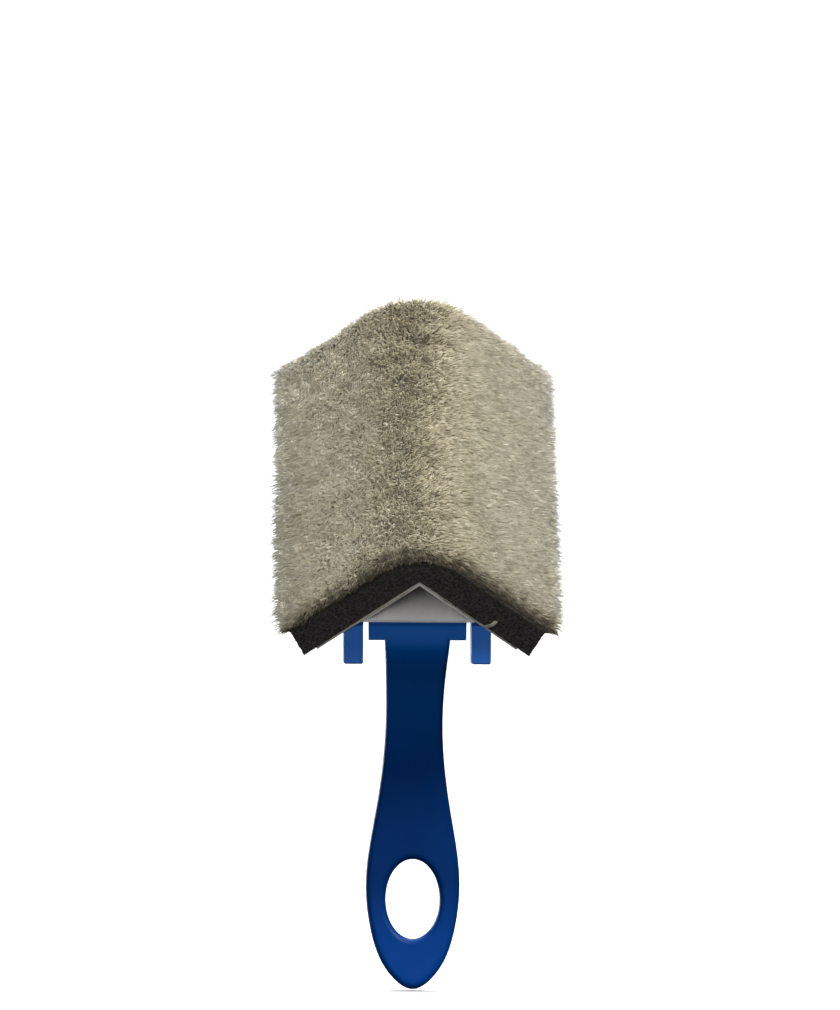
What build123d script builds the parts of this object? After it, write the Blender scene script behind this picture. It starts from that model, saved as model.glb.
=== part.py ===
"""Inside-corner paint pad: a V-shaped nap and foam pad on a hollow carrier, clipped to a moulded handle.

Millimetres. +Z points from the grip up to the pad, +X is to the right of someone facing the nap, and the nap
faces -Y. The origin is the centre of the oval hole in the grip, midway through the grip's thickness.
"""

from build123d import *
from math import cos, radians, sin, sqrt
import os

# Pad: layers are measured outward from the front face of the folded backing sheet. Bending the flat pad round
# the sheet pulls its front face in, so its cut sides slope, and the fibres along them fan out again.
pad_length = 95.0
pad_tilt = 42.0
ridge_foot_y = -46.0
ridge_foot_z = 87.5
tape_front = 0.25
foam_front = 9.5
cloth_front = 10.1
nap_front = 15.1
foam_wing = 43.0
cloth_wing = 39.0
nap_wing = 43.0
foam_ridge_radius = 15.0

# Folded sheet and hollow carrier.
sheet_thickness = 0.4
sheet_wing = 38.5
sheet_ridge_radius = 0.7
carrier_wall = 0.6
web_thickness = 0.9
web_rear = 16.3
corner_radius = 0.3
tape_start = 4.0
tape_end = 35.0

# Snap hooks of the handle, and the slots for them in the carrier's web.
hook_x = 6.0
hook_height = 34.0
hook_width = 5.0
hook_thickness = 2.4
hook_barb = 1.1
hook_nose = 1.8
hook_clearance = 0.2

# Handle: saddle against the web, shoulder bar, side legs, neck and grip.
fit = 0.15
saddle_low = 8.0
saddle_high = 50.0
saddle_thickness = 3.0
bar_half_width = 13.2
bar_front_y = -32.5
bar_foot_y = -31.8
bar_rear_y = -27.0
bar_bottom_z = 71.7
bar_slope_z = 75.0
bar_lip = 1.6
bar_top = 12.0
leg_inside = 14.7
leg_outside = 19.9
leg_front_y = -31.0
leg_back_y = -22.0
leg_bottom_z = 65.2
leg_step = 1.0
leg_top = 35.0
grip_thickness = 5.0
edge_radius = 1.8
soft_edge = 0.6
hole_width = 14.8
hole_height = 21.8
blank_half_width = 30.0
blank_depth = 60.0
long_edge = 20.0
near = 0.1

parts_folder = "parts"
os.makedirs(parts_folder, exist_ok=True)

tilt = radians(pad_tilt)
along_ridge = Vector(0, sin(tilt), cos(tilt))
ridge_foot = Vector(0, ridge_foot_y, ridge_foot_z)

# Local x is across the pad, local y goes from the ridge into the V, and the normal runs up the ridge.
pad_section = Plane(origin=ridge_foot, x_dir=(1, 0, 0), z_dir=along_ridge)


def on_wing(distance, outward):
    """Section point on the right wing, this far from the ridge line and this far in front of the sheet."""
    return ((distance + outward) / sqrt(2), (distance - outward) / sqrt(2))


def mirrored(point):
    return (-point[0], point[1])


def side_point(height, depth):
    """The (Y, Z) place of a point in the middle of the pad: height up the ridge, depth into the V."""
    place = pad_section.from_local_coords(Vector(0, depth, height))
    return (place.Y, place.Z)


def v_layer(back, front, back_wing, front_wing, back_radius, front_radius):
    """A folded layer of the pad, sharp at its four long edges and rounded along the ridge."""
    right = [on_wing(back_wing, back), on_wing(front_wing, front)]
    front_ridge = (0, -front * sqrt(2))
    back_ridge = (0, -back * sqrt(2))
    with BuildPart() as layer:
        with BuildSketch(pad_section) as section:
            Polygon(back_ridge, *right, front_ridge, mirrored(right[1]), mirrored(right[0]), align=None)
            ridge = section.vertices().filter_by_position(Axis.X, -near, near)
            fillet(ridge.sort_by(Axis.Y)[-1], back_radius)
            fillet(section.vertices().sort_by(Axis.Y)[0], front_radius)
        extrude(amount=pad_length)
    return layer.part


# Nap pile, the cloth it is rooted in, and the foam.
cloth_ridge_radius = foam_ridge_radius + cloth_front - foam_front
nap_ridge_radius = foam_ridge_radius + nap_front - foam_front

with BuildPart() as nap_pile:
    add(v_layer(cloth_front, nap_front, cloth_wing, nap_wing, cloth_ridge_radius, nap_ridge_radius))
nap_pile.part.label = "nap_pile"
export_step(nap_pile.part, f"{parts_folder}/nap_pile.step")

with BuildPart() as pile_backing:
    add(v_layer(foam_front, cloth_front, cloth_wing, cloth_wing, foam_ridge_radius, cloth_ridge_radius))
pile_backing.part.label = "pile_backing"
export_step(pile_backing.part, f"{parts_folder}/pile_backing.step")

foam_back_radius = sheet_ridge_radius + tape_front
with BuildPart() as foam_pad:
    add(v_layer(tape_front, foam_front, foam_wing, cloth_wing, foam_back_radius, foam_ridge_radius))
foam_pad.part.label = "foam_pad"
export_step(foam_pad.part, f"{parts_folder}/foam_pad.step")

# Two strips of double-sided tape, one on each wing, hold the foam to the sheet.
with BuildPart() as mounting_tape:
    with BuildSketch(pad_section):
        Polygon(
            on_wing(tape_start, 0),
            on_wing(tape_end, 0),
            on_wing(tape_end, tape_front),
            on_wing(tape_start, tape_front),
            align=None,
        )
    extrude(amount=pad_length)
    mirror(about=Plane.YZ)
mounting_tape.part.label = "mounting_tape"
export_step(mounting_tape.part, f"{parts_folder}/mounting_tape.step")

# Thin plastic sheet folded to a right angle.
sheet_hollow_radius = sheet_ridge_radius - sheet_thickness
with BuildPart() as backing_sheet:
    add(v_layer(-sheet_thickness, 0, sheet_wing, sheet_wing, sheet_hollow_radius, sheet_ridge_radius))
backing_sheet.part.label = "backing_sheet"
export_step(backing_sheet.part, f"{parts_folder}/backing_sheet.step")


def triangle_corners(apex, base):
    """Right-angled triangle in the section, with its apex under the ridge and its base across the V."""
    half = base - apex
    return [(0, apex), (half, base), (-half, base)]


# Hollow triangular profile that fills the V, open at both ends, with two slots through its web.
carrier_apex = sheet_thickness * sqrt(2)
hollow_apex = (sheet_thickness + carrier_wall) * sqrt(2)
web_front = web_rear - web_thickness
web_plane = Plane(
    origin=pad_section.from_local_coords(Vector(0, web_rear, 0)), x_dir=(1, 0, 0), z_dir=-pad_section.y_dir
)

with BuildPart() as corner_carrier:
    with BuildSketch(pad_section) as profile:
        Polygon(*triangle_corners(carrier_apex, web_rear), align=None)
        fillet(profile.vertices(), corner_radius)
    extrude(amount=pad_length)
    with BuildSketch(pad_section):
        Polygon(*triangle_corners(hollow_apex, web_front), align=None)
    extrude(amount=pad_length, mode=Mode.SUBTRACT)
    slot_height = hook_thickness + hook_barb + 2 * hook_clearance
    with BuildSketch(web_plane):
        with Locations((hook_x, hook_height), (-hook_x, hook_height)):
            Rectangle(hook_width + 2 * hook_clearance, slot_height, align=(Align.CENTER, Align.MIN))
    extrude(amount=web_thickness, mode=Mode.SUBTRACT)
corner_carrier.part.label = "corner_carrier"
export_step(corner_carrier.part, f"{parts_folder}/corner_carrier.step")

# Handle, one moulding. Front outline of the neck and grip, drawn in X and Z.
grip_tip = (0, -24.5)
right_side = [(6.2, -20.6), (11.2, -10.0), (12.9, 5.5), (10.2, 24.8), (7.9, 45.7), (8.1, 60.8), (9.3, 75.8)]
left_side = [mirrored(point) for point in reversed(right_side)]

# Middle line of the neck and grip seen from the side, in Y and Z: the tip curls forward a little, the grip
# hangs upright, and the neck sweeps forward under the pad and turns up into the shoulder bar.
neck_middle_y = bar_front_y + grip_thickness / 2
side_line = [(-4.2, -26.0), (0, -3), (-0.2, 22.0), (-5.0, 47.0), (-18.5, 62.5), (-28.2, 70)]
side_line.append((neck_middle_y, 77))

with BuildPart() as handle:
    with BuildSketch(Plane.XZ):
        with BuildLine():
            Spline(*left_side, grip_tip, *right_side)
            Line(right_side[-1], left_side[0])
        make_face()
        Ellipse(hole_width / 2, hole_height / 2, mode=Mode.SUBTRACT)
    extrude(amount=blank_depth, both=True)
    with BuildSketch(Plane.YZ):
        with BuildLine():
            Spline(*side_line, tangents=[(0.2, 1), (0, 1)])
        trace(line_width=grip_thickness)
    extrude(amount=blank_half_width, both=True, mode=Mode.INTERSECT)
    fillet(handle.edges().filter_by(lambda edge: edge.length > long_edge), edge_radius)

    # Shoulder bar behind the foot of the web: a front that slopes back to the neck, a level underside and a
    # rear that meets the saddle.
    saddle_rear = web_rear + saddle_thickness
    with BuildSketch(Plane.YZ):
        Polygon(
            side_point(0, web_rear),
            side_point(0, web_rear + bar_lip),
            (bar_front_y, bar_slope_z),
            (bar_foot_y, bar_bottom_z),
            (bar_rear_y, bar_bottom_z),
            side_point(bar_top, saddle_rear),
            side_point(bar_top, web_rear),
            align=None,
        )
    extrude(amount=bar_half_width, both=True)
    bar_edges = handle.edges().filter_by_position(Axis.Z, bar_bottom_z - near, bar_bottom_z + near)
    fillet(bar_edges.filter_by_position(Axis.Y, bar_foot_y - near, bar_foot_y + near), soft_edge)

    # Saddle plate on the rear of the web, its edges at 45 degrees to fit between the wings.
    saddle_half = web_rear - carrier_apex - fit
    with BuildSketch(pad_section.offset(saddle_low)):
        Polygon(
            (-saddle_half, web_rear),
            (saddle_half, web_rear),
            (saddle_half + saddle_thickness, saddle_rear),
            (-saddle_half - saddle_thickness, saddle_rear),
            align=None,
        )
    extrude(amount=saddle_high - saddle_low)

    # Side legs: rails behind the saddle whose feet hang below the pad.
    with BuildSketch(Plane.YZ.offset(leg_inside)):
        Polygon(
            (leg_front_y, leg_bottom_z),
            (leg_back_y, leg_bottom_z),
            side_point(leg_top, saddle_rear),
            side_point(leg_top, web_rear),
            side_point(0, web_rear),
            (leg_front_y, side_point(0, web_rear)[1] - leg_step),
            align=None,
        )
    leg = extrude(amount=leg_outside - leg_inside)
    mirror(leg, about=Plane.YZ)
    feet = handle.edges().filter_by_position(Axis.Z, leg_bottom_z - near, leg_bottom_z + near)
    fillet(feet, soft_edge)

    # Room for the V of the sheet and the carrier, which the saddle and the legs lie against.
    reach = 30.0
    with BuildSketch(pad_section):
        Polygon(
            (-saddle_half, web_rear),
            (saddle_half, web_rear),
            (saddle_half + reach, web_rear + reach),
            (saddle_half + reach, -reach),
            (-saddle_half - reach, -reach),
            (-saddle_half - reach, web_rear + reach),
            align=None,
        )
    extrude(amount=pad_length, mode=Mode.SUBTRACT)

    # Two snap hooks stand on the saddle, pass through the web's slots and latch over its front face.
    hook_foot = hook_height + hook_clearance
    hook_back = hook_foot + hook_thickness
    barb_low = web_front - hook_clearance
    with BuildSketch(Plane.YZ.offset(hook_x - hook_width / 2)):
        Polygon(
            side_point(hook_foot, saddle_rear),
            side_point(hook_back, saddle_rear),
            side_point(hook_back, barb_low),
            side_point(hook_back + hook_barb, barb_low),
            side_point(hook_back, barb_low - hook_nose),
            side_point(hook_foot, barb_low - hook_nose),
            align=None,
        )
    hook = extrude(amount=hook_width)
    mirror(hook, about=Plane.YZ)
handle.part.label = "handle"
export_step(handle.part, f"{parts_folder}/handle.step")
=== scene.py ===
"""Inside-corner paint pad: a right-angled pad of nap and foam, held tilted on a blue moulded handle.

Metres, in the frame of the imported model: +Z from the grip up to the pad, and the nap faces -Y.
"""

import math

import bpy
import numpy as np
from mathutils import Matrix, Vector


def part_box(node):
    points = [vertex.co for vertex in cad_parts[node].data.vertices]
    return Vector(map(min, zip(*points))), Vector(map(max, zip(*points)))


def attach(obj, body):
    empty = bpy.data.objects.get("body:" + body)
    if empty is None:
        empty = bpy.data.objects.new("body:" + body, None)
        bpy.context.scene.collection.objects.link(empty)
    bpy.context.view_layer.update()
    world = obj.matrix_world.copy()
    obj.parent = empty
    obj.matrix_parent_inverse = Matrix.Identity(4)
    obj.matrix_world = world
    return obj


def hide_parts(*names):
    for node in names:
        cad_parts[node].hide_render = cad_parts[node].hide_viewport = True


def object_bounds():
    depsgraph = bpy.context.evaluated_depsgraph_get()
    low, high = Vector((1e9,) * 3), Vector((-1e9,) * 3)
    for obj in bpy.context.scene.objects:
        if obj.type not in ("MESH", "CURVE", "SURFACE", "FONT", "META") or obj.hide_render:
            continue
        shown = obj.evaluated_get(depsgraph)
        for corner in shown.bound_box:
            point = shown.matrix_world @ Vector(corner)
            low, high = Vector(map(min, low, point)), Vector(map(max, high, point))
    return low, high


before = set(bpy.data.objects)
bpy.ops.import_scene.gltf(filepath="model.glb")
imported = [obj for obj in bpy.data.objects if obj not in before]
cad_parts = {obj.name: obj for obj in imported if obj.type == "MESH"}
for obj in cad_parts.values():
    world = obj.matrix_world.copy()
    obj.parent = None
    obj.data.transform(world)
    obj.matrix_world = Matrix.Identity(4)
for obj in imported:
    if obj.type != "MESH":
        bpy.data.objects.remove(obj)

cad_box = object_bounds()

# --------------------------------------------------------------------------------------------------
# Camera. It stands far off, level with the pad and a little to the left of the tool's middle line, so
# that the inner side of the right leg shows. The tool hangs a touch out of true.
view_distance = 1.9
view_yaw = math.radians(1.9)
view_roll = math.radians(0.3)
picture_height = 0.2777
sensor_height = 0.024
room_above = 0.0372

ahead = Vector((math.sin(view_yaw), math.cos(view_yaw), 0))
level = Vector((math.cos(view_yaw), -math.sin(view_yaw), 0))
upright = Vector((0, 0, 1))
right_hand = level * math.cos(view_roll) + upright * math.sin(view_roll)
up_hand = upright * math.cos(view_roll) - level * math.sin(view_roll)
aim = Vector((0.0015, 0, (cad_box[0].z + cad_box[1].z) / 2 + room_above))

camera_data = bpy.data.cameras.new("camera")
camera_data.sensor_fit = "VERTICAL"
camera_data.sensor_height = sensor_height * 1000
camera_data.lens = sensor_height * 1000 * view_distance / picture_height
camera_data.clip_end = 20
camera = bpy.data.objects.new("camera", camera_data)
turned = Matrix((right_hand, up_hand, -ahead)).transposed().to_4x4()
camera.matrix_world = Matrix.Translation(aim - ahead * view_distance) @ turned
bpy.context.scene.collection.objects.link(camera)
bpy.context.scene.camera = camera
bpy.context.scene.view_settings.view_transform = "Standard"


# --------------------------------------------------------------------------------------------------
# Studio. A matt white paper sweep: a level floor under the tool that curves up into a wall behind it,
# in one sheet. Soft boxes light it from above, in front and behind.
floor_height = cad_box[0].z - 0.0005
floor_front = -2.6
wall_place = 1.4
sweep_radius = 0.5
sweep_half_width = 3.0
wall_height = 3.0


def mesh_piece(name, points, faces):
    """A piece at the origin whose mesh has these points and faces."""
    mesh = bpy.data.meshes.new(name)
    mesh.from_pydata(points, [], faces.tolist())
    piece = bpy.data.objects.new(name, mesh)
    bpy.context.scene.collection.objects.link(piece)
    return piece


def paper_sweep():
    """Profile carried along X: a level line, a quarter circle of the sweep's radius, an upright line."""
    turn = np.linspace(0, math.pi / 2, 24)
    along = wall_place + sweep_radius * np.sin(turn)
    rise = floor_height + sweep_radius * (1 - np.cos(turn))
    along = np.concatenate([[floor_front], along, [wall_place + sweep_radius]])
    rise = np.concatenate([[floor_height], rise, [wall_height]])
    across = np.linspace(-sweep_half_width, sweep_half_width, 3)
    points = np.zeros((len(across), len(along), 3))
    points[..., 0] = across[:, None]
    points[..., 1] = along
    points[..., 2] = rise
    number = np.arange(across.size * along.size).reshape(across.size, along.size)
    corners = [number[:-1, :-1], number[1:, :-1], number[1:, 1:], number[:-1, 1:]]
    sheet = mesh_piece("paper_sweep", points.reshape(-1, 3), np.stack(corners, axis=-1).reshape(-1, 4))
    sheet.data.shade_smooth()
    return sheet


def new_material(name):
    """A material with its node tree and its shader."""
    material = bpy.data.materials.new(name)
    material.use_nodes = True
    tree = material.node_tree
    return material, tree, tree.nodes["Principled BSDF"]


def place(tree, kind, **values):
    """A node of this kind with its sockets and settings set by name."""
    made = tree.nodes.new(kind)
    for name, value in values.items():
        socket = made.inputs.get(name.replace("_", " "))
        if socket is not None:
            socket.default_value = value
        else:
            setattr(made, name, value)
    return made


paper = new_material("paper_white")[0]
paper_shader = paper.node_tree.nodes["Principled BSDF"]
paper_shader.inputs["Base Color"].default_value = (0.93, 0.93, 0.93, 1)
paper_shader.inputs["Roughness"].default_value = 0.9
paper_shader.inputs["Specular IOR Level"].default_value = 0.1
sweep = paper_sweep()
sweep.data.materials.append(paper)
sweep.visible_diffuse = False
sweep.visible_glossy = False

# The air of the studio is bright overhead and dim below, so faces that look down lie in soft shade. Seen
# directly, past the edge of the paper, it is as pale as the paper.
air_low = -0.4
air_high = 0.6
dim_air = 0.26
bright_air = 1.0
pale_air = 19.0
world = bpy.data.worlds.new("studio_air")
world.use_nodes = True
air = world.node_tree
air_parts = place(air, "ShaderNodeSeparateXYZ")
air.links.new(place(air, "ShaderNodeTexCoord").outputs["Generated"], air_parts.inputs["Vector"])
air_height = place(air, "ShaderNodeMapRange", interpolation_type="SMOOTHSTEP")
air_height.inputs["From Min"].default_value = air_low
air_height.inputs["From Max"].default_value = air_high
air_height.inputs["To Min"].default_value = dim_air
air_height.inputs["To Max"].default_value = bright_air
air.links.new(air_parts.outputs["Z"], air_height.inputs["Value"])
air_seen = place(air, "ShaderNodeMix", data_type="FLOAT")
air_seen.inputs["B"].default_value = pale_air
air.links.new(place(air, "ShaderNodeLightPath").outputs["Is Camera Ray"], air_seen.inputs["Factor"])
air.links.new(air_height.outputs["Result"], air_seen.inputs["A"])
air.links.new(air_seen.outputs["Result"], air.nodes["Background"].inputs["Strength"])
bpy.context.scene.world = world


def soft_box(name, at, width, power):
    """A square area light at this place, turned to face the middle of the pad."""
    data = bpy.data.lights.new(name, "AREA")
    data.shape = "SQUARE"
    data.size = width
    data.energy = power
    lamp = bpy.data.objects.new(name, data)
    towards = aim - Vector(at)
    lamp.matrix_world = Matrix.Translation(at) @ towards.to_track_quat("-Z", "Y").to_matrix().to_4x4()
    bpy.context.scene.collection.objects.link(lamp)
    return lamp


soft_box("key_light", at=(0.75, -1.0, 1.45), width=0.6, power=34)
front_light = soft_box("front_light", at=(-0.35, -2.0, 0.05), width=0.8, power=26)
front_light.visible_glossy = False
soft_box("wall_light", at=(0, 0.7, 2.2), width=1.6, power=90)
soft_box("rear_light", at=(-0.85, 1.1, 0.15), width=0.7, power=16)

# --------------------------------------------------------------------------------------------------
# Handle. One moulding in royal blue polypropylene: saddle, shoulder bar, legs, neck and grip. It comes
# out of the mould satin, with a faint drift of colour, a mottled gloss and a fine grain. Painted light
# lies over it: the tip, the neck, the shoulder and the legs are painted in lighter blues, and the legs,
# the shoulder and the tip are lighter than the neck.
blue_deep = (0.0003, 0.024, 0.125, 1)
blue_light = (0.0005, 0.031, 0.160, 1)
blue_neck_painted_light = (0.0008, 0.078, 0.340, 1)
blue_shoulder_painted_light = (0.015, 0.110, 0.430, 1)
blue_legs_painted_light = (0.028, 0.133, 0.490, 1)
blue_tip_painted_light = (0.0004, 0.044, 0.240, 1)
neck_height = 0.034
neck_full = 0.064
shoulder_height = 0.0685
shoulder_full = 0.0722
legs_inside = 0.0135
legs_full = 0.0145
tip_height = 0.006
tip_full = -0.018
drift_features = 45
gloss_features = 220
grain_features = 2600


def object_noise(tree, scale, detail=3.0):
    """Noise over the piece's own coordinates, this many features to the metre."""
    own = tree.nodes.get("own place") or place(tree, "ShaderNodeTexCoord", name="own place")
    noise = place(tree, "ShaderNodeTexNoise", Scale=scale, Detail=detail)
    tree.links.new(own.outputs["Object"], noise.inputs["Vector"])
    return noise.outputs["Fac"]


def spread(tree, value, low, high):
    """The middle half of a noise value, spread from low to high."""
    stretch = place(tree, "ShaderNodeMapRange")
    stretch.inputs["From Min"].default_value = 0.3
    stretch.inputs["From Max"].default_value = 0.7
    stretch.inputs["To Min"].default_value = low
    stretch.inputs["To Max"].default_value = high
    tree.links.new(value, stretch.inputs["Value"])
    return stretch.outputs["Result"]


def blend_colours(tree, value, first, second):
    """From the first colour to the second as value goes from 0 to 1."""
    mix = place(tree, "ShaderNodeMix", data_type="RGBA")
    mix.inputs[6].default_value = first
    mix.inputs[7].default_value = second
    tree.links.new(value, mix.inputs["Factor"])
    return mix.outputs[2]


def bump(tree, shader, value, height):
    """Relief of this height, in metres, from a value."""
    relief = place(tree, "ShaderNodeBump", Strength=1.0, Distance=height)
    tree.links.new(value, relief.inputs["Height"])
    tree.links.new(relief.outputs["Normal"], shader.inputs["Normal"])


def moulded_plastic(name, deep, light, roughness, grain, specular):
    """Plastic with a slow drift of colour, a mottled gloss and a fine grain."""
    material, tree, shader = new_material(name)
    shader.inputs["Specular IOR Level"].default_value = specular
    drift = spread(tree, object_noise(tree, drift_features), 0, 1)
    tree.links.new(blend_colours(tree, drift, deep, light), shader.inputs["Base Color"])
    gloss = spread(tree, object_noise(tree, gloss_features, 6), roughness - 0.06, roughness + 0.08)
    tree.links.new(gloss, shader.inputs["Roughness"])
    bump(tree, shader, object_noise(tree, grain_features, 4), grain)
    return material


def finish_node(node, material):
    """Gives a CAD node this material in each of its slots."""
    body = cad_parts[node]
    for slot in body.material_slots:
        slot.material = material


def own_part(tree, axis):
    """The X, Y or Z of the piece's own coordinates."""
    parts = place(tree, "ShaderNodeSeparateXYZ")
    tree.links.new(tree.nodes["own place"].outputs["Object"], parts.inputs["Vector"])
    return parts.outputs[axis]


def tint_where(material, value, start, full, colour):
    """Blends a material's colour into this one as a value goes from start to full."""
    tree = material.node_tree
    shader = tree.nodes["Principled BSDF"]
    under = shader.inputs["Base Color"].links[0].from_socket
    amount = place(tree, "ShaderNodeMapRange", interpolation_type="SMOOTHSTEP")
    amount.inputs["From Min"].default_value = start
    amount.inputs["From Max"].default_value = full
    tree.links.new(value, amount.inputs["Value"])
    mix = place(tree, "ShaderNodeMix", data_type="RGBA")
    mix.inputs[7].default_value = colour
    tree.links.new(amount.outputs["Result"], mix.inputs["Factor"])
    tree.links.new(under, mix.inputs[6])
    tree.links.new(mix.outputs[2], shader.inputs["Base Color"])


blue_plastic = moulded_plastic(
    "royal_blue_plastic", blue_deep, blue_light, roughness=0.38, grain=0.00003, specular=0.12
)
blue_tree = blue_plastic.node_tree
blue_height = own_part(blue_tree, "Z")
aside = place(blue_tree, "ShaderNodeMath", operation="ABSOLUTE")
blue_tree.links.new(own_part(blue_tree, "X"), aside.inputs["Value"])
# Painted light: lighter blues laid over the tip, the neck, the shoulder bar and the legs.
tint_where(blue_plastic, blue_height, tip_height, tip_full, blue_tip_painted_light)
tint_where(blue_plastic, blue_height, neck_height, neck_full, blue_neck_painted_light)
tint_where(blue_plastic, blue_height, shoulder_height, shoulder_full, blue_shoulder_painted_light)
tint_where(blue_plastic, aside.outputs["Value"], legs_inside, legs_full, blue_legs_painted_light)
finish_node("handle", blue_plastic)

# --------------------------------------------------------------------------------------------------
# Carrier and sheet. White plastic: a hollow triangular profile, extruded and cut to length, and a thin
# sheet folded over it, smoother and shinier. The two are glued along the wings. The sheet's white is
# painted grey, darker than the carrier: painted shade.
white_deep = (0.84, 0.82, 0.80, 1)
white_light = (0.90, 0.88, 0.86, 1)
# Painted shade: the sheet's white plastic is coloured grey.
sheet_painted_shade_deep = (0.55, 0.545, 0.54, 1)
sheet_painted_shade_light = (0.64, 0.635, 0.63, 1)
carrier_plastic = moulded_plastic(
    "white_extruded_plastic", white_deep, white_light, roughness=0.45, grain=0.00003, specular=0.4
)
sheet_plastic = moulded_plastic(
    "white_sheet_plastic", sheet_painted_shade_deep, sheet_painted_shade_light, roughness=0.32, grain=0.00002, specular=0.4
)
hollow_painted_shade = (0.09, 0.089, 0.086, 1)
hollow_reach = 0.016
hollow_closed = 0.02
hollow_open = 0.62

# Painted shade: where the walls close in, the colour goes dark as the open share within reach falls.
openness = place(
    carrier_plastic.node_tree,
    "ShaderNodeAmbientOcclusion",
    samples=12,
    only_local=True,
    Distance=hollow_reach,
)
tint_where(carrier_plastic, openness.outputs["AO"], hollow_open, hollow_closed, hollow_painted_shade)
finish_node("corner_carrier", carrier_plastic)
finish_node("backing_sheet", sheet_plastic)

# --------------------------------------------------------------------------------------------------
# Foam. Charcoal open-cell foam, die-cut square and bent over the folded sheet, which draws its front
# face in, so that its two sides slope. Its pores are open on every cut face.
pad_tilt = math.radians(42)
foam_wing = 0.043
cloth_wing = 0.039
foam_back = 0.00025
foam_front = 0.0095
foam_back_radius = 0.00095
foam_ridge_radius = 0.015

foam_low, foam_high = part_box("foam_pad")
into_v = np.array([0, math.cos(pad_tilt), -math.sin(pad_tilt)])
up_ridge = np.array([0, math.sin(pad_tilt), math.cos(pad_tilt)])
foot_z = foam_low.z + (foam_wing - foam_back) / math.sqrt(2) * math.sin(pad_tilt)
foam_ridge_depth = foam_ridge_radius * (math.sqrt(2) - 1) - foam_front * math.sqrt(2)
foot_y = foam_low.y - foam_ridge_depth * math.cos(pad_tilt)
ridge_foot = np.array([0, foot_y, foot_z])
pad_length = float((foam_high.z - foot_z - foam_ridge_depth * into_v[2]) / math.cos(pad_tilt))


def in_pad(across, depth, height):
    """Frame places of section points: across the pad, depth into the V, and height up the ridge."""
    points = ridge_foot + depth[..., None] * into_v + height[..., None] * up_ridge
    points[..., 0] += across
    return points


def half_width(offset, wing, radius):
    """Length of one half of a folded layer: its wing from the end of the bend, and half the bend."""
    return wing - (radius - offset) + radius * math.pi / 4


def fold(offset, radius, along):
    """Folded section line at this offset in front of the sheet, at lengths along from the ridge.

    Inside the bend the point is centre + radius * (sin a, -cos a) with a = along / radius, at most 45
    degrees, and past it the line runs straight on. Returns (across, depth, a).
    """
    bend = np.clip(along / radius, -math.pi / 4, math.pi / 4)
    beyond = along - bend * radius
    centre = (radius - offset) * math.sqrt(2)
    across = radius * np.sin(bend) + beyond * np.cos(bend)
    depth = centre - radius * np.cos(bend) + beyond * np.sin(bend)
    return across, depth, bend


def ripple(points, size, seed, waves=28):
    """Smooth noise, about -1 to 1: a sum of plane waves of lengths near size, in seeded directions."""
    chance = np.random.default_rng(seed)
    direction = chance.normal(size=(waves, 3))
    direction /= np.linalg.norm(direction, axis=1)[:, None]
    length = size * chance.uniform(0.7, 1.5, waves)
    phase = chance.uniform(0, 2 * math.pi, waves)
    total = np.zeros(points.shape[:-1])
    for k in range(waves):
        total += np.sin(points @ direction[k] * (2 * math.pi / length[k]) + phase[k])
    return total / math.sqrt(waves)


def block_surface(count_a, count_b, count_c):
    """Faces of a block of grid points: (a, b, c) from 0 to 1 for each used point, and quads.

    The quads face outward where a runs to the right, b to the front and c up.
    """
    number = np.arange((count_a + 1) * (count_b + 1) * (count_c + 1))
    number = number.reshape(count_a + 1, count_b + 1, count_c + 1)
    faces = []
    sides = [(number[0], False), (number[-1], True), (number[:, 0], True), (number[:, -1], False)]
    sides += [(number[:, :, 0], False), (number[:, :, -1], True)]
    for side, turned in sides:
        ring = [side[:-1, :-1], side[1:, :-1], side[1:, 1:], side[:-1, 1:]]
        if turned:
            ring.reverse()
        faces.append(np.stack(ring, axis=-1).reshape(-1, 4))
    used, quads = np.unique(np.concatenate(faces), return_inverse=True)
    quads = quads.reshape(-1, 4)
    a, b, c = np.unravel_index(used, (count_a + 1, count_b + 1, count_c + 1))
    return np.stack([a / count_a, b / count_b, c / count_c], axis=1), quads


def folded_layer(name, back, front, cells, trim=0.0):
    """A closed folded layer: the block's a runs across the fold, b from back to front and c up the ridge.

    Its back and its front are each given as offset, wing and ridge radius.
    """
    place_abc, quads = block_surface(*cells)
    a, b, c = place_abc.T
    share = a * 2 - 1
    back_line = fold(back[0], back[2], share * (half_width(*back) - trim))
    front_line = fold(front[0], front[2], share * (half_width(*front) - trim))
    across = back_line[0] * (1 - b) + front_line[0] * b
    depth = back_line[1] * (1 - b) + front_line[1] * b
    points = in_pad(across, depth, trim + c * (pad_length - 2 * trim))
    return mesh_piece(name, points, quads), points, place_abc


def press_inward(piece, points, amount):
    """Moves each point inward, against its normal, by its amount."""
    mesh = piece.data
    normals = np.zeros(len(mesh.vertices) * 3, np.float32)
    mesh.vertices.foreach_get("normal", normals)
    moved = points - normals.reshape(-1, 3) * amount[:, None]
    mesh.vertices.foreach_set("co", moved.astype(np.float32).ravel())
    mesh.update()


foam_face = (foam_front, cloth_wing, foam_ridge_radius)
foam_body, foam_points, foam_abc = folded_layer(
    "foam_body", (foam_back, foam_wing, foam_back_radius), foam_face, (250, 22, 150)
)
small_pore = 0.0011
large_pore = 0.0024
pore_depth = 0.00012
pit_depth = 0.00018
pits_to_the_metre = 1500
pit_floor = 0.15
pit_rim = 0.6
pores = ripple(foam_points, small_pore, 3) * 0.5 + ripple(foam_points, large_pore, 4) * 0.5
touching = np.clip(np.minimum(foam_abc[:, 1], 1 - foam_abc[:, 1]) * 12, 0, 1)
free_end = (foam_abc[:, 2] == 0) | (foam_abc[:, 2] == 1)
free_side = (foam_abc[:, 0] == 0) | (foam_abc[:, 0] == 1)
press_inward(foam_body, foam_points, np.where(free_end | free_side, touching, 0) * pores * pore_depth)

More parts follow.
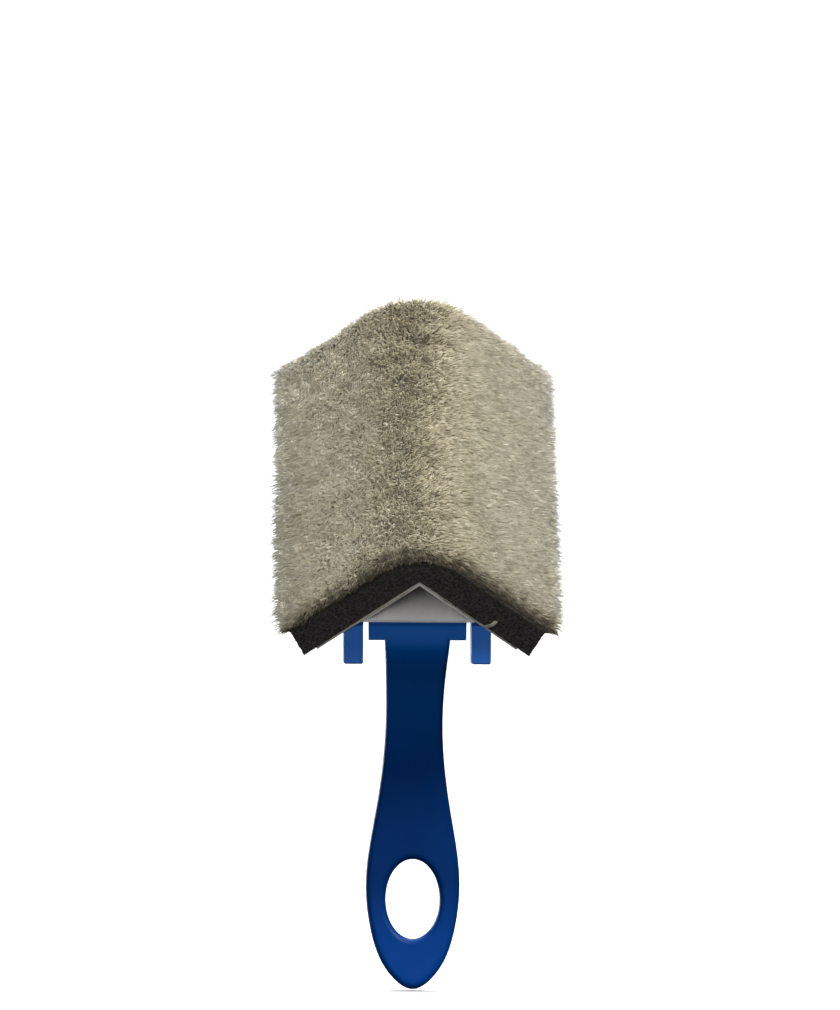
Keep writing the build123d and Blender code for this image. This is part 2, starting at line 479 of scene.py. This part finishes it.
foam_pit_shade = (0.023, 0.021, 0.021, 1)
foam_grey = (0.085, 0.078, 0.076, 1)
foam_skin, foam_tree, foam_shader = new_material("charcoal_foam")
cells = place(foam_tree, "ShaderNodeTexVoronoi", Scale=pits_to_the_metre, Randomness=1.0)
foam_tree.links.new(place(foam_tree, "ShaderNodeTexCoord").outputs["Object"], cells.inputs["Vector"])
pits = place(foam_tree, "ShaderNodeMapRange")
pits.inputs["From Min"].default_value = pit_floor
pits.inputs["From Max"].default_value = pit_rim
foam_tree.links.new(cells.outputs["Distance"], pits.inputs["Value"])
# Painted shade: the floors of the pits are darker than their rims.
foam_tint = blend_colours(foam_tree, pits.outputs["Result"], foam_pit_shade, foam_grey)
foam_tree.links.new(foam_tint, foam_shader.inputs["Base Color"])
foam_shader.inputs["Roughness"].default_value = 0.92
foam_shader.inputs["Specular IOR Level"].default_value = 0.1
bump(foam_tree, foam_shader, pits.outputs["Result"], pit_depth)
foam_body.data.materials.append(foam_skin)
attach(foam_body, "root")
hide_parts("foam_pad")

# --------------------------------------------------------------------------------------------------
# Tape. Two strips of double-sided tape, pale and a little yellow, hold the foam to the sheet. They are
# cut by hand, so their ends stand out unevenly, and on the right a sliver of film curls over the foam.
tape_thickness = 0.00025
tape_start = 0.004
tape_end = 0.035
tape_overhang = 0.0005
tape_wander = 0.00025
tape_wave = 0.006
tape_gap = 0.00002
tape_head_gap = 0.0003


def tape_strip(name, side, seed):
    """A thin closed strip on one wing whose lower end wanders by a sum of sines."""
    cells_abc, quads = block_surface(80, 1, 60)
    a, b, c = cells_abc.T
    along = tape_start + (tape_end - tape_start) * a
    uneven = ripple(np.stack([along, 0 * along, 0 * along], axis=1), tape_wave, seed, 9) * tape_wander
    low = -tape_overhang - uneven
    height = low + c * (pad_length - low - tape_head_gap)
    offset = tape_gap + (tape_thickness - 2 * tape_gap) * b
    across = side * (along + offset) / math.sqrt(2)
    depth = (along - offset) / math.sqrt(2)
    if side < 0:
        quads = quads[:, ::-1]
    return mesh_piece(name, in_pad(across, depth, height), quads)


tape_deep = (0.52, 0.47, 0.38, 1)
tape_light = (0.72, 0.68, 0.60, 1)
tape_film, tape_tree, tape_shader = new_material("tape_film")
tape_stain = spread(tape_tree, object_noise(tape_tree, 500), 0, 1)
tape_tint = blend_colours(tape_tree, tape_stain, tape_deep, tape_light)
tape_tree.links.new(tape_tint, tape_shader.inputs["Base Color"])
tape_shader.inputs["Roughness"].default_value = 0.5
sliver_start = 0.0248
sliver_width = 0.0017
sliver_rise = 0.0042
sliver_root = 0.00012
sliver_sag = 0.0009


def tape_sliver():
    """A torn end of film: it leaves the tape, curls forward on a quarter sine and twists level.

    The block's a runs along the curl, b through the film and c across the strip.
    """
    cells_abc, quads = block_surface(24, 1, 8)
    a, b, c = cells_abc.T
    offset = sliver_root + sliver_rise * np.sin(a * math.pi / 2)
    height = -0.0006 - sliver_sag * np.sin(a * math.pi)
    wing_way = 1 - 0.75 * a
    spread_across = sliver_width * (c - 0.5) * (1 - 0.35 * a)
    film = tape_thickness * 0.4 * (b - 0.5)
    along = sliver_start + 0.0005 * a + spread_across * wing_way
    across = (along + offset) / math.sqrt(2) + spread_across * (1 - wing_way)
    depth = (along - offset) / math.sqrt(2)
    sliver = mesh_piece("tape_sliver", in_pad(across, depth, height - film), quads[:, ::-1])
    sliver.data.shade_smooth()
    return sliver


tape_right = tape_strip("tape_right", 1, 11)
tape_left = tape_strip("tape_left", -1, 12)
for strip in (tape_right, tape_left, tape_sliver()):
    strip.data.materials.append(tape_film)
    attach(strip, "root")
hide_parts("mounting_tape")

# --------------------------------------------------------------------------------------------------
# Cloth. The ground of the nap fabric, woven from dull beige yarn, that the nap is rooted in. It is glued
# flat on the foam and cut level with it.
cloth_thickness = 0.0006
weave_relief = 0.0001
cloth_front = foam_front + cloth_thickness
cloth_face = (cloth_front, cloth_wing, foam_ridge_radius + cloth_thickness)

cloth = folded_layer("ground_cloth", foam_face, cloth_face, (240, 2, 200))[0]
weave_dark = (0.05, 0.045, 0.03, 1)
weave_light = (0.11, 0.10, 0.07, 1)
cloth_weave, weave_tree, weave_shader = new_material("ground_weave")
weave_drift = spread(weave_tree, object_noise(weave_tree, 1800), 0, 1)
weave_tint = blend_colours(weave_tree, weave_drift, weave_dark, weave_light)
weave_tree.links.new(weave_tint, weave_shader.inputs["Base Color"])
weave_shader.inputs["Roughness"].default_value = 0.95
bump(weave_tree, weave_shader, object_noise(weave_tree, 2500), weave_relief)
cloth.data.materials.append(cloth_weave)
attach(cloth, "root")
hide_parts("pile_backing")

# --------------------------------------------------------------------------------------------------
# Nap. Dense soft fibres 5 mm deep, woven into the cloth. The whole pile lies down the pad and a little
# to the right; along the two sides it fans out past the cut edges. A thick bed of short fibres lies
# under the long ones.
pile_depth = 0.005
bed_depth = 0.0020
bed_relief = 0.0003
fibre_spacing = 0.00033
fibre_radius = 0.00020
fibre_bands = 6
side_places = [-1, -0.88, -0.6, -0.32, -0.1, 0.1, 0.4, 0.88, 1]
side_leans = [-22, -8, 9, 16, 15, 17, 25, 28, 30]
down_leans = [20, 28, 31, 31, 27, 22, 13, 11, 11]
ridge_turn = math.radians(-17)
comb_turn = math.radians(10)
comb_droop = math.radians(9)
wave_size = 0.009
wave_lean = math.radians(5)
own_lean = math.radians(8)
right_calm = 0.45
stray_share = 0.35
stray_splay = math.radians(26)
end_reach = 0.0035
lower_droop = math.radians(24)
upper_lift = math.radians(8)
edge_reach = 0.004
edge_growth = 0.22
tuft_size = 0.00125
nap_tone = 0.46
fibre_spread = 0.06
tuft_spread = 0.07
parting_shade = 0.10
parting_width = 0.015
foot_shade = 0.72
foot_shade_reach = 0.0022
left_painted_light = 0.08
side_painted_light = 0.18
stray_painted_light = 0.32
head_painted_light = 0.20

bed_face = (cloth_front + bed_depth, cloth_wing, cloth_face[2] + bed_depth)
nap_bed, bed_points, bed_abc = folded_layer("nap_bed", cloth_face, bed_face, (230, 4, 200), trim=0.0004)
press_inward(nap_bed, bed_points, (bed_abc[:, 1] > 0.1) * ripple(bed_points, 0.0014, 5) * bed_relief)


def smooth_step(value):
    """0 below 0, 1 above 1, and 3 t^2 - 2 t^3 between."""
    t = np.clip(value, 0, 1)
    return t * t * (3 - 2 * t)


def nearest_tuft(along, height, size, seed):
    """Number of each root's nearest tuft centre; one centre lies at a random place in each square cell."""
    cells_up = int(pad_length / size) + 3
    shape = (int(2 * root_half / size) + 3, cells_up, 2)
    centre = np.random.default_rng(seed).uniform(0.05, 0.95, shape)
    centre += np.indices(shape[:2]).transpose(1, 2, 0)
    here = np.stack([(along + root_half) / size + 1, height / size + 1], axis=1)
    cell = here.astype(int)
    nearest = np.full(len(along), np.inf)
    number = np.zeros(len(along), int)
    for step_a in (-1, 0, 1):
        for step_c in (-1, 0, 1):
            a = np.clip(cell[:, 0] + step_a, 0, shape[0] - 1)
            c = np.clip(cell[:, 1] + step_c, 0, shape[1] - 1)
            distance = np.linalg.norm(centre[a, c] - here, axis=1)
            closer = distance < nearest
            nearest[closer] = distance[closer]
            number[closer] = (a * cells_up + c)[closer]
    return np.unique(number, return_inverse=True)[1]


root_half = half_width(*cloth_face)
chance = np.random.default_rng(21)
count_across = int(2 * root_half / fibre_spacing)
count_up = int(pad_length / fibre_spacing)
grid_across, grid_up = np.meshgrid(np.arange(count_across), np.arange(count_up), indexing="ij")
root_along = (grid_across + chance.uniform(0, 1, grid_across.shape)) / count_across * 2 * root_half
root_along = (root_along - root_half).ravel()
root_height = (grid_up + chance.uniform(0, 1, grid_up.shape)) / count_up * pad_length
root_height = root_height.ravel()
fibre_count = len(root_along)

across, depth, bend = fold(cloth_front, cloth_face[2], root_along)
roots = in_pad(across, depth, root_height)
outward = np.stack([np.sin(bend), -np.cos(bend) * into_v[1], -np.cos(bend) * into_v[2]], axis=1)
sideways = np.stack([np.cos(bend), np.sin(bend) * into_v[1], np.sin(bend) * into_v[2]], axis=1)

share = root_along / root_half
near_side = smooth_step((np.abs(root_along) - root_half + edge_reach) / edge_reach)
near_foot = smooth_step((end_reach - root_height) / end_reach)
near_head = smooth_step((root_height - pad_length + end_reach) / end_reach)
side_lean = np.radians(np.interp(share, side_places, side_leans))
rise = root_height / pad_length
side_lean += ridge_turn * (rise - 0.15) * np.exp(-((share / 0.35) ** 2))
combed = smooth_step(-share * 2) * smooth_step(rise * 1.6 - 0.6) * (1 - near_head)
side_lean += comb_turn * combed
strays = near_side * (chance.uniform(0, 1, fibre_count) < stray_share)
side_lean += np.sign(share) * stray_splay * strays
ruffle = 1 - right_calm * smooth_step(share * 3)
side_lean += (ripple(roots, wave_size, 6) * wave_lean + chance.normal(0, own_lean, fibre_count)) * ruffle
lean_down = np.radians(np.interp(share, side_places, down_leans))
lean_down += lower_droop * near_foot - upper_lift * near_head + comb_droop * combed
lean_down += (ripple(roots, wave_size, 8) * wave_lean + chance.normal(0, own_lean, fibre_count)) * ruffle
length = pile_depth * 1.1 * (1 + edge_growth * strays) * (1 - 0.2 * near_foot)
length *= 1 + chance.normal(0, 0.07, fibre_count) + ripple(roots, 0.003, 9) * 0.05


def leaning(amount):
    """Fibre direction at this share of its lean: out of the cloth, then sideways, then down the pad."""
    side = side_lean * amount
    down = lean_down * amount
    heading = outward * np.cos(side)[:, None] + sideways * np.sin(side)[:, None]
    return heading * np.cos(down)[:, None] - up_ridge * np.sin(down)[:, None]


middle_share = 0.6
lean_to_middle = 0.75
lean_to_tip = 1.4
middles = roots + leaning(lean_to_middle) * (length * middle_share)[:, None]
tips = middles + leaning(lean_to_tip) * (length * (1 - middle_share))[:, None]

# Neighbouring tips gather into tufts: each goes part of the way to the mean tip of its tuft.
tuft = nearest_tuft(root_along, root_height, tuft_size, 31)
tuft_members = np.bincount(tuft)
tuft_tip = np.stack([np.bincount(tuft, tips[:, k]) / tuft_members for k in range(3)], axis=1)
tuft_hold = chance.uniform(0.45, 0.85, len(tuft_members))
tuft_tone = chance.normal(0, tuft_spread, len(tuft_members))
gather = (tuft_hold[tuft] * (1 - 0.4 * near_side) * ruffle)[:, None]
tips += (tuft_tip[tuft] - tips) * gather
middles += (tuft_tip[tuft] - tips) * gather * 0.2

brightness = nap_tone + chance.normal(0, fibre_spread, fibre_count) + tuft_tone[tuft]
brightness += ripple(roots, 0.012, 10) * 0.03
brightness -= parting_shade * (1 + rise) * np.exp(-((root_along / parting_width) ** 2))
# Painted light: the left wing, the fibres along the sides, the strays and the fibres at the head are made
# paler.
brightness += left_painted_light * smooth_step(-share * 2) + side_painted_light * near_side
brightness += stray_painted_light * strays + head_painted_light * near_head
brightness -= foot_shade * np.exp(-root_height / foot_shade_reach)
brightness = np.clip(brightness, 0.02, 0.97)
thickness = fibre_radius * (1 - 0.4 * strays)


strip_across = np.array([0, 0.004, 0.008, 0, 0.004, 0.008, 0.004])
strip_up = [0.02, 0.02, 0.02, 0.52, 0.52, 0.52, 0.98]


def fibre_mesh(name, chosen):
    """Closed slim spikes: a ring of three points at the root, one at the middle, and a point at the tip."""
    root, middle, tip = roots[chosen], middles[chosen], tips[chosen]
    count = len(root)
    heading = middle - root
    heading /= np.linalg.norm(heading, axis=1)[:, None]
    first = np.cross(heading, up_ridge)
    first /= np.linalg.norm(first, axis=1)[:, None]
    second = np.cross(heading, first)
    start = np.random.default_rng(5).uniform(0, 2 * math.pi, count)
    rings = []
    for k in range(3):
        angle = (start + k * 2 * math.pi / 3)[:, None]
        rings.append(first * np.cos(angle) + second * np.sin(angle))
    girth = thickness[chosen][:, None]
    points = [root + ring * girth for ring in rings]
    points += [middle + ring * girth for ring in rings]
    points.append(tip)
    points = np.stack(points, axis=1)
    one = [(0, 2, 1)]
    for k in range(3):
        n = (k + 1) % 3
        one += [(k, n, 3 + n), (k, 3 + n, 3 + k), (3 + k, 3 + n, 6)]
    one = np.array(one)
    faces = (one[None] + 7 * np.arange(count)[:, None, None]).reshape(-1, 3)
    band = mesh_piece(name, points.reshape(-1, 3), faces)
    band.data.shade_smooth()

    # On the UV map, a fibre is a narrow strip: u is its brightness, and v runs from its root to its tip.
    u = brightness[chosen][:, None] + strip_across
    v = np.tile(strip_up, (count, 1))
    uv = np.stack([u, v], axis=-1).reshape(-1, 2)
    layer = band.data.uv_layers.new(name="OFBake")
    layer.data.foreach_set("uv", uv[faces.ravel()].astype(np.float32).ravel())
    return band


def colour_ramp(tree, value, stops):
    """A colour ramp with these (place, colour) stops."""
    ramp = place(tree, "ShaderNodeValToRGB")
    band = ramp.color_ramp
    while len(band.elements) < len(stops):
        band.elements.new(0.5)
    for element, (at, colour) in zip(band.elements, stops):
        element.position = at
        element.color = colour
    tree.links.new(value, ramp.inputs["Fac"])
    return ramp.outputs["Color"]


nap_fibre, nap_tree, nap_shader = new_material("beige_nap_fibre")
nap_map = place(nap_tree, "ShaderNodeUVMap", uv_map="OFBake")
nap_split = place(nap_tree, "ShaderNodeSeparateXYZ")
nap_tree.links.new(nap_map.outputs["UV"], nap_split.inputs["Vector"])
nap_stops = [
    (0.0, (0.09, 0.075, 0.045, 1)),
    (0.2, (0.42, 0.375, 0.255, 1)),
    (0.38, (0.62, 0.565, 0.41, 1)),
    (0.65, (0.79, 0.745, 0.60, 1)),
    (1.0, (0.93, 0.92, 0.88, 1)),
]
# Painted shade: each fibre darkens towards its root, deep in the pile.
root_shade_stops = [(0.0, (0.42, 0.40, 0.36, 1)), (0.45, (0.86, 0.85, 0.83, 1)), (1.0, (1, 1, 1, 1))]
nap_mix = place(nap_tree, "ShaderNodeMix", data_type="RGBA", blend_type="MULTIPLY")
nap_mix.inputs["Factor"].default_value = 1
nap_tree.links.new(colour_ramp(nap_tree, nap_split.outputs["X"], nap_stops), nap_mix.inputs[6])
nap_tree.links.new(colour_ramp(nap_tree, nap_split.outputs["Y"], root_shade_stops), nap_mix.inputs[7])
nap_tree.links.new(nap_mix.outputs[2], nap_shader.inputs["Base Color"])
nap_shader.inputs["Roughness"].default_value = 0.7
nap_shader.inputs["Specular IOR Level"].default_value = 0.25
nap_shader.inputs["Sheen Weight"].default_value = 0.25
nap_shader.inputs["Sheen Roughness"].default_value = 0.4

bed_dark = (0.20, 0.18, 0.12, 1)
bed_light = (0.40, 0.36, 0.26, 1)
bed_fibre, bed_tree, bed_shader = new_material("short_nap_bed")
bed_drift = spread(bed_tree, object_noise(bed_tree, 1500), 0, 1)
bed_tint = blend_colours(bed_tree, bed_drift, bed_dark, bed_light)
bed_tree.links.new(bed_tint, bed_shader.inputs["Base Color"])
bed_shader.inputs["Roughness"].default_value = 0.95
bump(bed_tree, bed_shader, object_noise(bed_tree, 2200), bed_relief)
nap_bed.data.materials.append(bed_fibre)
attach(nap_bed, "root")
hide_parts("nap_pile")

band_of = np.minimum((rise * fibre_bands).astype(int), fibre_bands - 1)
for band in range(fibre_bands):
    fibres = fibre_mesh(f"nap_fibres_{band + 1}", band_of == band)
    fibres.data.materials.append(nap_fibre)
    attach(fibres, "root")
